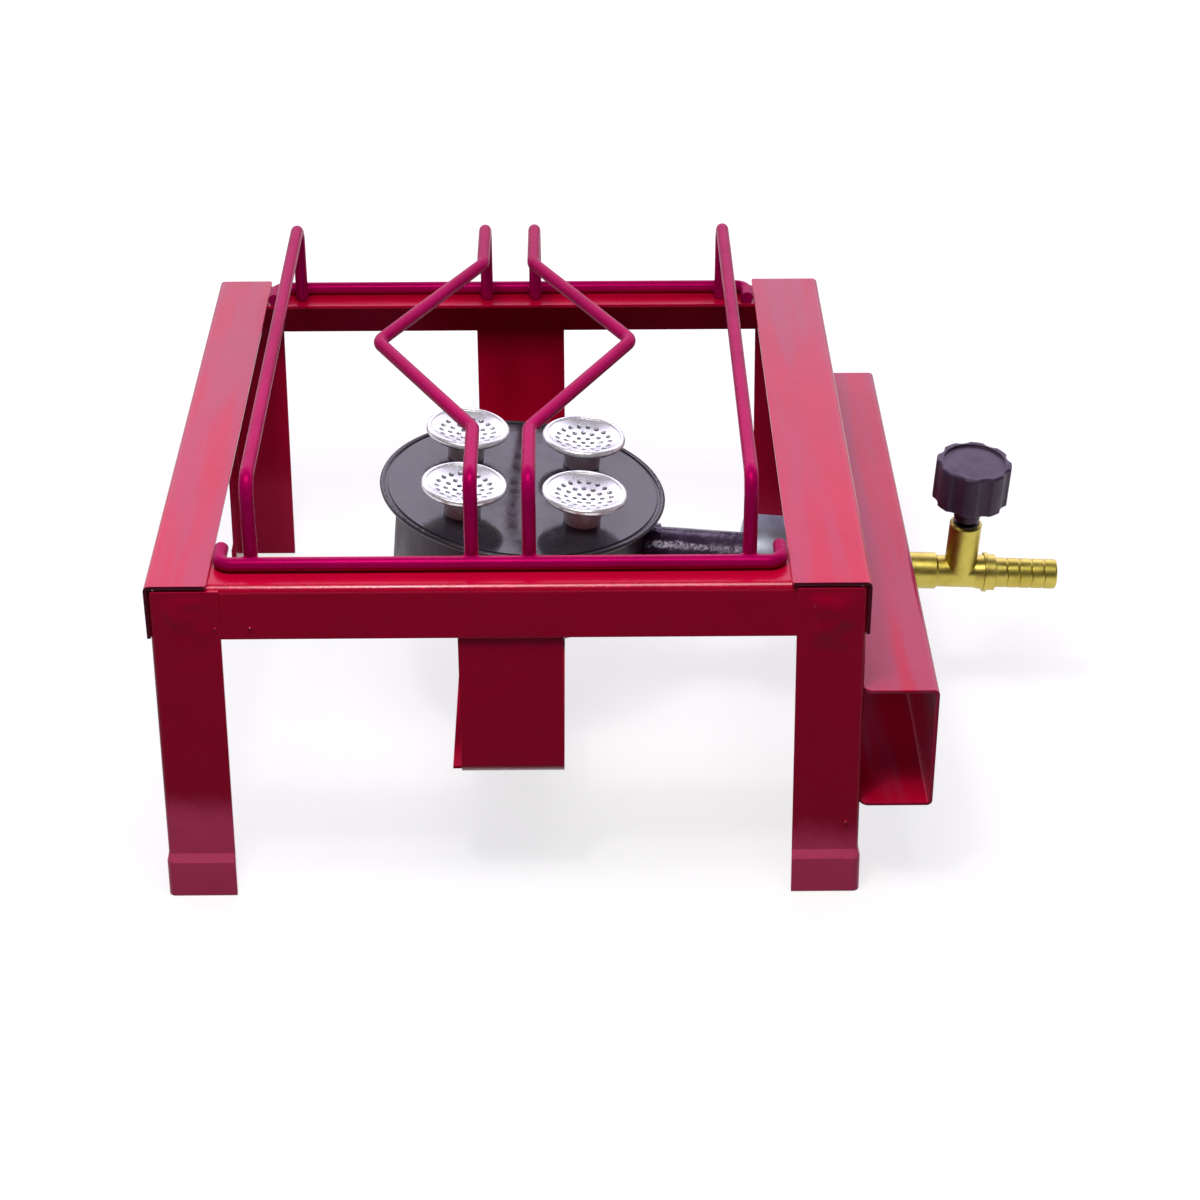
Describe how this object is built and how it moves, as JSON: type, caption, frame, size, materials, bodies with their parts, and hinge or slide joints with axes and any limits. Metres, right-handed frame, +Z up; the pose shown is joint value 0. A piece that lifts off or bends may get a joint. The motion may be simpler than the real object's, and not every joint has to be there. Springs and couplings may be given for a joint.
{
  "type": "single burner gas stove",
  "caption": "Low square gas stove: folded sheet frame on angle legs, rod pan support, round burner with perforated caps, side guard and brass needle valve with hose tail.",
  "frame": {"origin": "on the floor under the middle of the square frame", "axes": "+X to the valve side, +Y to the back, +Z up; the front faces -Y"},
  "size_m": [0.4062, 0.302, 0.1975],
  "materials": {
    "frame_paint": "gloss",
    "rod_paint": "gloss",
    "burner_enamel": "satin",
    "cap_steel": "bright",
    "bell_zinc": "satin",
    "fastener_steel": "zinc plated",
    "valve_brass": "turned",
    "knob_plastic": "moulded",
    "seal_rubber": "matte"
  },
  "bodies": {
    "stove": {"front_rail": "frame_paint", "rear_rail": "frame_paint", "left_rail": "frame_paint", "right_rail": "frame_paint", "front_left_leg": "frame_paint", "front_right_leg": "frame_paint", "rear_left_leg": "frame_paint", "rear_right_leg": "frame_paint", "burner_strap": "frame_paint", "valve_guard": "frame_paint", "burner_plate": "burner_enamel", "mixing_bowl": "burner_enamel", "mixing_tube": "burner_enamel", "tube_socket": "burner_enamel", "front_left_neck": "burner_enamel", "front_right_neck": "burner_enamel", "rear_left_neck": "burner_enamel", "rear_right_neck": "burner_enamel", "front_left_cap": "cap_steel", "front_right_cap": "cap_steel", "rear_left_cap": "cap_steel", "rear_right_cap": "cap_steel", "air_bell": "bell_zinc", "burner_bolt": "fastener_steel", "burner_nut": "fastener_steel", "bowl_spacer": "fastener_steel", "valve_body": "valve_brass", "lock_nut": "valve_brass", "gas_jet": "valve_brass", "hose_tail": "valve_brass", "gland_bush": "valve_brass"},
    "pan_support": {"front_cross_bar": "rod_paint", "rear_cross_bar": "rod_paint", "left_pan_bar": "rod_paint", "right_pan_bar": "rod_paint", "left_diamond_bar": "rod_paint", "right_diamond_bar": "rod_paint"},
    "valve_knob": {"spindle": "valve_brass", "seal_ring": "seal_rubber", "knob": "knob_plastic"}
  },
  "joints": [
    {"name": "pan_lift", "type": "slide", "parent": "stove", "child": "pan_support", "axis": [0, 0, 1], "range_m": [0, 0.06]},
    {"name": "knob_turn", "type": "hinge", "parent": "stove", "child": "valve_knob", "pos_m": [0.20898, 0, 0.07373], "axis": [0.04, -0.0819, 0.9958], "range_deg": [0, 720]}
  ]
}
